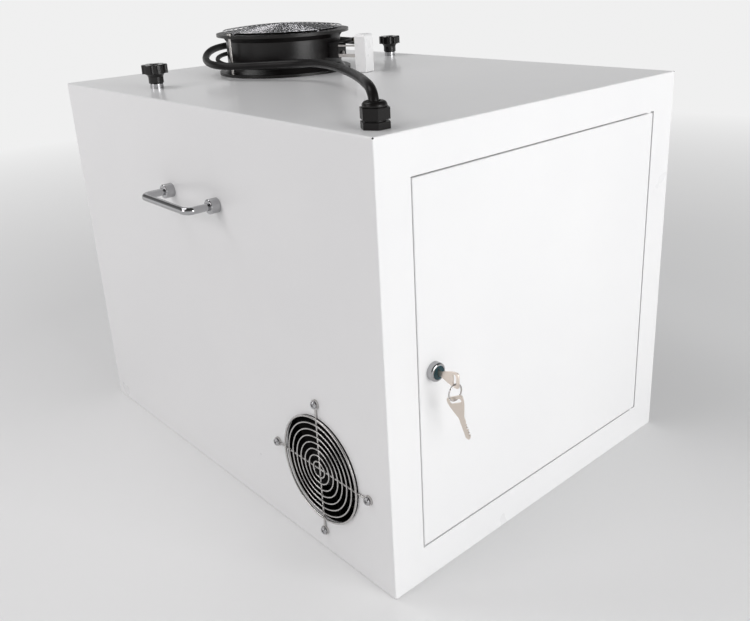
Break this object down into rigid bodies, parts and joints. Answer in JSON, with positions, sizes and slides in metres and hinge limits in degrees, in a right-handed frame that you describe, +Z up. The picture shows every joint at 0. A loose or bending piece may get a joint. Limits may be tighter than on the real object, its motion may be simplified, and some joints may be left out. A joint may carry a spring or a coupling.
{
  "type": "uv post-curing unit",
  "caption": "Sheet-metal bench cabinet with a keyed hinged door, side and top fans, a height-set lamp head on star knobs and a turntable in a bright chamber.",
  "frame": {"origin": "middle of the cabinet's flat underside, handles and fans left out", "axes": "+Z up, +Y to the back, so the door faces -Y and +X is to the right as seen from the door"},
  "size_m": [0.528, 0.6432, 0.5097],
  "materials": {
    "white_coat": "satin powder coat",
    "black_coat": "satin black",
    "black_plastic": "moulded",
    "white_plastic": "moulded",
    "grey_plastic": "moulded",
    "black_rubber": "smooth",
    "chrome": "polished",
    "bright_steel": "zinc plated",
    "liner_aluminium": "bright reflector sheet",
    "lamp_glass": "clear",
    "white_nickel": "nickel plated"
  },
  "bodies": {
    "cabinet": {"cabinet_wrap": "white_coat", "front_frame": "white_coat", "base_panel": "white_coat", "rear_panel": "white_coat", "rear_panel_screws": "bright_steel", "chamber_liner": "liner_aluminium", "liner_back": "liner_aluminium", "liner_rails": "bright_steel", "intake_grille": "liner_aluminium", "hinge_washers": "white_plastic", "hinge_pins": "bright_steel", "side_fan_guard": "chrome", "guard_screws": "chrome", "side_fan_frame": "black_plastic", "handle_left": "chrome", "handle_right": "chrome", "handle_ferrules": "chrome", "handle_screws": "bright_steel", "exhaust_fan_housing": "black_coat", "exhaust_fan_guard": "chrome", "exhaust_tie_bolts": "bright_steel", "capacitor_bracket": "bright_steel", "run_capacitor": "white_plastic", "terminal_screws": "bright_steel", "knob_collars": "chrome", "turntable_motor": "bright_steel", "gland_body": "black_plastic", "gland_nut": "black_plastic", "gland_locknut": "black_plastic", "fan_cable": "black_rubber", "fan_lead": "black_rubber", "lamp_ballast": "grey_plastic", "terminal_block": "grey_plastic", "mains_inlet": "black_plastic", "switch_housing": "black_plastic", "interlock_sensor": "white_plastic"},
    "door": {"door_skin": "white_coat", "door_back_panel": "liner_aluminium", "door_gasket": "black_rubber", "hinge_blocks": "bright_steel", "lock_body": "chrome", "lock_nut": "bright_steel", "interlock_magnet": "white_plastic"},
    "lock_plug": {"lock_plug": "bright_steel", "lock_cam": "bright_steel"},
    "key": {"key": "white_nickel"},
    "key_ring": {"key_ring": "white_nickel"},
    "spare_key": {"spare_key": "white_nickel"},
    "side_fan_rotor": {"side_fan_rotor": "black_plastic"},
    "exhaust_fan_rotor": {"exhaust_fan_rotor": "black_plastic"},
    "knob_left": {"star_knob_left": "black_plastic"},
    "knob_right": {"star_knob_right": "black_plastic"},
    "lamp_head": {"lamp_carrier": "bright_steel", "reflector_hood": "liner_aluminium", "uv_lamp": "lamp_glass", "lamp_holders": "white_plastic"},
    "turntable": {"turntable": "liner_aluminium", "turntable_shaft": "bright_steel"},
    "switch_rocker": {"switch_rocker": "black_plastic"}
  },
  "joints": [
    {"name": "door_hinge", "type": "hinge", "parent": "cabinet", "child": "door", "pos_m": [0.1785, -0.296, 0.225], "axis": [0, 0, 1], "range_deg": [0, 110]},
    {"name": "lock_turn", "type": "hinge", "parent": "door", "child": "lock_plug", "pos_m": [-0.1655, -0.3, 0.225], "axis": [0, 1, 0], "range_deg": [0, 90]},
    {"name": "key_pull", "type": "slide", "parent": "lock_plug", "child": "key", "axis": [0, -1, 0], "range_m": [0, 0.035]},
    {"name": "key_ring_swing", "type": "hinge", "parent": "key", "child": "key_ring", "pos_m": [-0.1655, -0.3265, 0.2215], "axis": [1, 0, 0], "range_deg": [-45, 25]},
    {"name": "spare_key_swing", "type": "hinge", "parent": "key_ring", "child": "spare_key", "pos_m": [-0.1655, -0.3265, 0.2045], "axis": [1, 0, 0], "range_deg": [-20, 15]},
    {"name": "side_fan_spin", "type": "hinge", "parent": "cabinet", "child": "side_fan_rotor", "pos_m": [-0.212, -0.194, 0.099], "axis": [1, 0, 0], "continuous": true},
    {"name": "exhaust_fan_spin", "type": "hinge", "parent": "cabinet", "child": "exhaust_fan_rotor", "pos_m": [0.0075, 0.14, 0.475], "axis": [0, 0, 1], "continuous": true},
    {"name": "knob_left_turn", "type": "hinge", "parent": "cabinet", "child": "knob_left", "pos_m": [-0.18, 0.14, 0.47], "axis": [0, 0, 1], "range_deg": [0, 4320]},
    {"name": "knob_right_turn", "type": "hinge", "parent": "cabinet", "child": "knob_right", "pos_m": [0.195, 0.14, 0.47], "axis": [0, 0, 1], "range_deg": [0, 4320]},
    {"name": "lamp_lift", "type": "slide", "parent": "cabinet", "child": "lamp_head", "axis": [0, 0, 1], "range_m": [-0.015, 0]},
    {"name": "turntable_spin", "type": "hinge", "parent": "cabinet", "child": "turntable", "pos_m": [0, -0.02, 0.054], "axis": [0, 0, 1], "continuous": true},
    {"name": "rocker_press", "type": "hinge", "parent": "cabinet", "child": "switch_rocker", "pos_m": [0.15, 0.299, 0.11], "axis": [1, 0, 0], "range_deg": [0, 16]}
  ],
  "couplings": [
    {"joint": "knob_left_turn", "follows": "lamp_lift", "rad_per_m": -5026.5},
    {"joint": "knob_right_turn", "follows": "lamp_lift", "rad_per_m": -5026.5}
  ]
}
